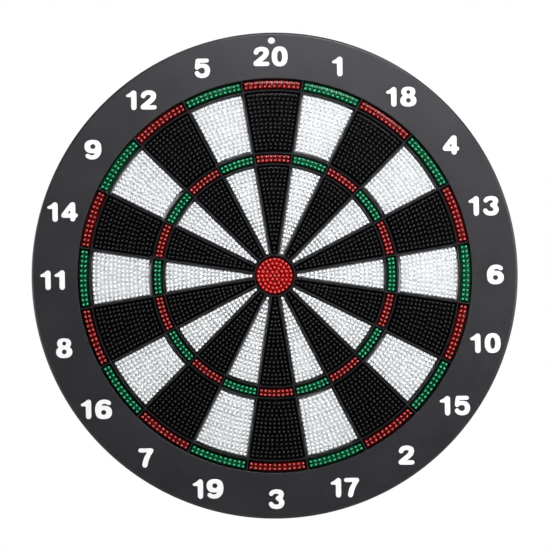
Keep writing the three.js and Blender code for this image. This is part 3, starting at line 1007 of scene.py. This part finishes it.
def numeral(key):
    """One digit as a closed shell that stands proud of the number ring's face."""
    loops = [smooth(resample(l, 0.42)) for l in contours(glyph(key)) if len(l) > 20]
    levels = [(0.0, Z_RIM - 0.25), (0.0, Z_RIM + RAISE - 0.16), (0.06, Z_RIM + RAISE - 0.05), (0.18, Z_RIM + RAISE)]
    points, faces, first, total = [], [], [], 0
    for l in loops:
        n = len(l)
        first.append(total)
        for by, z in levels:
            points.append(at_z(inset(l, by), z))
        for j in range(len(levels) - 1):
            for k in range(n):
                q = (k + 1) % n
                faces.append([total + j * n + k, total + j * n + q, total + (j + 1) * n + q, total + (j + 1) * n + k])
        total += n * len(levels)
    for level, flip in ((0, True), (len(levels) - 1, False)):
        outlines, index = [], []
        for l, start in zip(loops, first):
            n = len(l)
            outline = inset(l, levels[level][0])
            outlines.append([Vector((x, y, 0)) for x, y in outline])
            index += [start + level * n + k for k in range(n)]
        for tri in tessellate_polygon(outlines):
            faces.append([index[i] for i in tri])
    shell = Shell(np.concatenate(points), faces)
    xyz = shell.xyz()
    # the caps' triangles may come out turned either way
    for i, f in enumerate(shell.faces):
        if len(f) == 3:
            a, b, q = xyz[f[0]], xyz[f[1]], xyz[f[2]]
            up = (b[0] - a[0]) * (q[1] - a[1]) - (b[1] - a[1]) * (q[0] - a[0])
            front = a[2] > Z_RIM
            if (up > 0) != front:
                shell.faces[i] = f[::-1]
    return shell


# the middle of each digit's box, x and y in millimetres from the board's centre
PLACES = {
    20: [(-8.89, 189.25), (6.91, 189.25)],
    1: [(56.55, 179.81)],
    18: [(102.86, 152.95), (117.56, 152.95)],
    4: [(153.76, 110.7)],
    13: [(172.73, 57.73), (187.43, 57.73)],
    6: [(190.62, -1.52)],
    10: [(172.47, -60.88), (187.47, -60.88)],
    15: [(145.56, -114.45), (160.56, -114.45)],
    2: [(111.7, -156.72)],
    17: [(50.46, -183.96), (63.96, -183.96)],
    3: [(-1.18, -193.06)],
    19: [(-68.77, -183.51), (-54.07, -183.51)],
    7: [(-113.32, -155.98)],
    16: [(-164.43, -113.34), (-149.33, -113.34)],
    8: [(-182.61, -60.16)],
    11: [(-197.92, -1.33), (-185.72, -1.33)],
    14: [(-191.04, 57.48), (-176.34, 57.48)],
    9: [(-155.44, 110.85)],
    12: [(-121.69, 153.05), (-106.79, 153.05)],
    5: [(-59.95, 179.89)],
}

digit_shells = {key: numeral(key) for key in "0123456789"}
for number, places in PLACES.items():
    shells = []
    for key, (x, y) in zip(str(number), places):
        base = digit_shells[key]
        shells.append(Shell(base.xyz() + np.array([x, y, 0.0]), base.faces))
    piece("number_%02d" % number, mesh_of(gather(shells), "number"), PAINT, angle=30)


# ------------------------------------------------------------------ studio

floor_z = -0.5
half = 6.0
floor_mesh = bpy.data.meshes.new("floor")
floor_mesh.from_pydata([(-half, -half, floor_z), (half, -half, floor_z), (half, half, floor_z), (-half, half, floor_z)], [], [(0, 1, 2, 3)])
floor_mesh.materials.append(floor_paper())
floor = bpy.data.objects.new("floor", floor_mesh)
bpy.context.scene.collection.objects.link(floor)


def softbox(name, at, aim, width, height, power, color=(1, 1, 1)):
    data = bpy.data.lights.new(name, "AREA")
    data.shape = "RECTANGLE"
    data.size, data.size_y = width, height
    data.energy = power
    data.color = color
    o = bpy.data.objects.new(name, data)
    o.location = at
    o.rotation_euler = (Vector(aim) - Vector(at)).to_track_quat("-Z", "Y").to_euler()
    o.visible_camera = False
    bpy.context.scene.collection.objects.link(o)
    return o


softbox("key", (0.17, -1.15, 0.64), (0, 0, 0.0), 0.55, 0.5, 13.3, (0.985, 0.975, 1.03))
softbox("left", (-1.3, -1.0, -0.5), (0, 0, 0), 1.2, 1.6, 17)
softbox("right", (1.4, -1.0, -0.35), (0, 0, 0), 1.2, 1.6, 13)
softbox("strip", (0.46, -0.62, 0.06), (0.12, 0, 0.02), 0.12, 0.34, 1.25, (0.985, 0.975, 1.03))
# these stand behind the face, and light only the outer wall and the back
softbox("back", (0.3, 1.7, 0.9), (0, 0, 0), 1.6, 1.2, 20)
softbox("back_top", (-0.3, 0.6, 1.8), (0, 0, 0), 2.2, 0.8, 11)
softbox("back_left", (-1.9, 0.6, 0.3), (0, 0, 0), 0.8, 1.4, 20)
softbox("back_right", (1.9, 0.6, 0.3), (0, 0, 0), 0.8, 1.4, 20)

world = bpy.data.worlds.new("studio")
world.use_nodes = True
wt = world.node_tree
wt.nodes.clear()
w_out = wt.nodes.new("ShaderNodeOutputWorld")
w_mix = wt.nodes.new("ShaderNodeMixShader")
w_seen = wt.nodes.new("ShaderNodeBackground")
w_lit = wt.nodes.new("ShaderNodeBackground")
w_path = wt.nodes.new("ShaderNodeLightPath")
w_seen.inputs["Color"].default_value = (1, 1, 1, 1)
w_seen.inputs["Strength"].default_value = 1.0
w_lit.inputs["Color"].default_value = (1, 1, 1, 1)
w_lit.inputs["Strength"].default_value = 0.03
wt.links.new(w_path.outputs["Is Camera Ray"], w_mix.inputs["Fac"])
wt.links.new(w_lit.outputs["Background"], w_mix.inputs[1])
wt.links.new(w_seen.outputs["Background"], w_mix.inputs[2])
wt.links.new(w_mix.outputs["Shader"], w_out.inputs["Surface"])
bpy.context.scene.world = world
